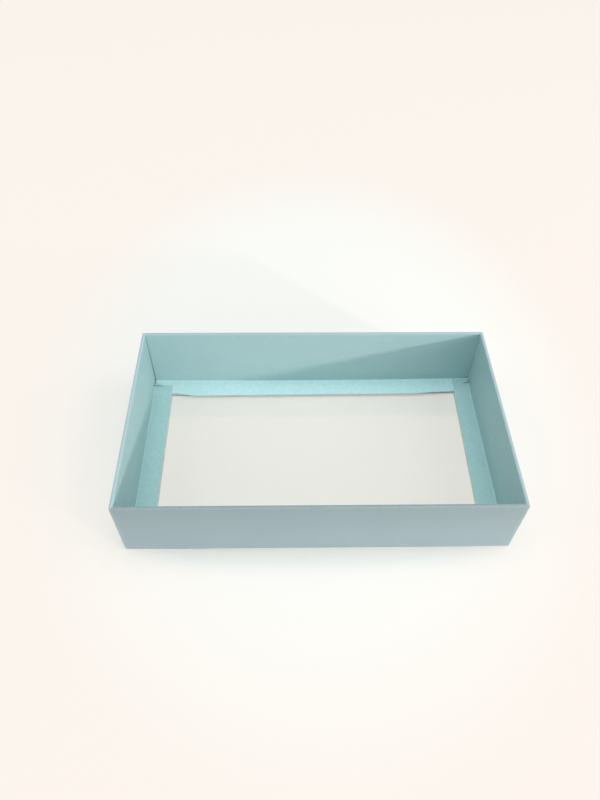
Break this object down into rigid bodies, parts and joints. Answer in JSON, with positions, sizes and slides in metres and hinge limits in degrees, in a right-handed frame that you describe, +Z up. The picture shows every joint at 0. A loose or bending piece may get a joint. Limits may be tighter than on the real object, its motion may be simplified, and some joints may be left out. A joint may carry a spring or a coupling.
{
  "type": "acetate window box tray",
  "caption": "Shallow rectangular box half in pale blue paper over grey board, open at the top, with a clear acetate window glued into its floor.",
  "frame": {"origin": "under the centre of the footprint, on the surface that the tray stands on", "axes": "+X along the long side to the right, +Y to the back, +Z up out of the open side"},
  "size_m": [0.18, 0.11, 0.035],
  "materials": {
    "cover_paper": "pale blue cover paper, satin",
    "base_paper": "pale blue cover paper, satin",
    "grey_board": "raw grey board, matte",
    "kraft_paper": "gummed kraft paper, matte",
    "acetate": "clear acetate sheet, glossy",
    "clear_tape": "clear double-sided tape"
  },
  "bodies": {
    "root": {"floor_board": "grey_board", "base_paper": "base_paper", "acetate_window": "acetate", "wall_board_front": "grey_board", "wall_board_right": "grey_board", "wall_board_back": "grey_board", "wall_board_left": "grey_board", "cover_paper_front": "cover_paper", "cover_paper_right": "cover_paper", "cover_paper_back": "cover_paper", "cover_paper_left": "cover_paper", "window_tape_front": "clear_tape", "window_tape_right": "clear_tape", "window_tape_back": "clear_tape", "window_tape_left": "clear_tape", "corner_stay_front_left": "kraft_paper", "corner_stay_front_right": "kraft_paper", "corner_stay_back_left": "kraft_paper", "corner_stay_back_right": "kraft_paper"}
  },
  "joints": []
}
